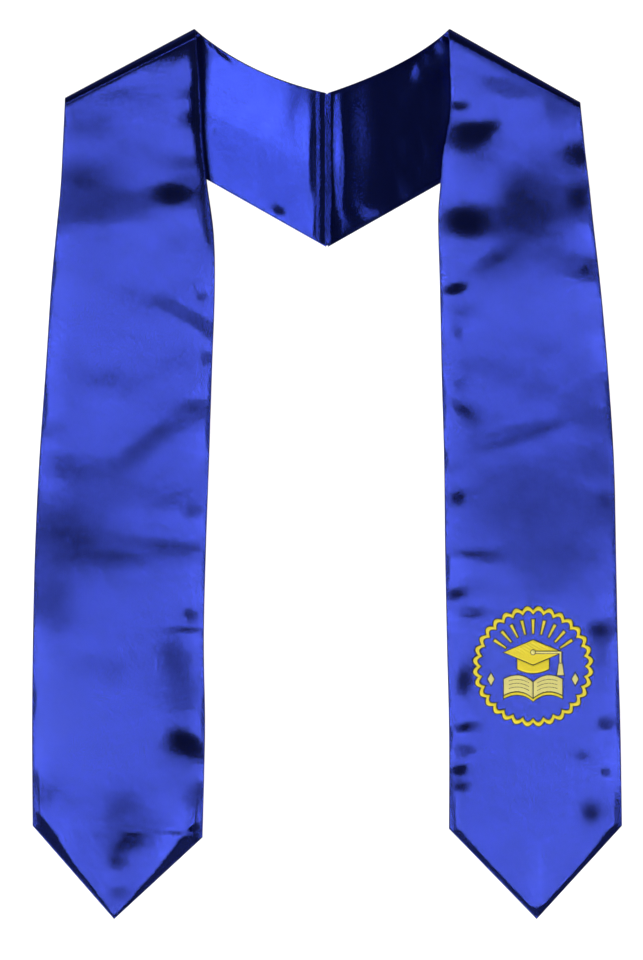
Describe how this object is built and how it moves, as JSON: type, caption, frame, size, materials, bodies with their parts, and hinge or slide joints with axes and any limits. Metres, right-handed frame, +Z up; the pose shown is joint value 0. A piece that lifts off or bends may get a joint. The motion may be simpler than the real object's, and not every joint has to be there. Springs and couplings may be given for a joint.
{
  "type": "graduation stole",
  "caption": "Satin graduation stole with pointed ends, folded at both shoulders and lying face up, with a round embroidered badge near one end.",
  "frame": {"origin": "centre of the box round the lying stole, on the floor", "axes": "+X to the right panel as it is looked at, +Y from the pointed ends to the neck, +Z up out of the face cloth"},
  "size_m": [0.5056, 0.763, 0.0128],
  "materials": {
    "face_satin": "royal blue satin with a strong sheen",
    "lining_satin": "brighter blue satin lining",
    "gold_thread": "glossy yellow gold satin stitch",
    "pale_thread": "glossy pale yellow satin stitch"
  },
  "bodies": {
    "root": {"left_face": "face_satin", "right_face": "face_satin", "left_lining": "lining_satin", "right_lining": "lining_satin", "centre_seam": "lining_satin", "badge_border": "gold_thread", "cap_board": "gold_thread", "cap_crown": "gold_thread", "cap_button": "pale_thread", "tassel_cord": "pale_thread", "tassel": "pale_thread", "book_left": "pale_thread", "book_right": "pale_thread", "book_cover": "gold_thread", "lozenge_left": "pale_thread", "lozenge_right": "pale_thread", "ray_1": "gold_thread", "ray_2": "gold_thread", "ray_3": "gold_thread", "ray_4": "gold_thread", "ray_5": "gold_thread", "ray_6": "gold_thread", "ray_7": "gold_thread", "ray_8": "gold_thread", "ray_9": "gold_thread"}
  },
  "joints": []
}
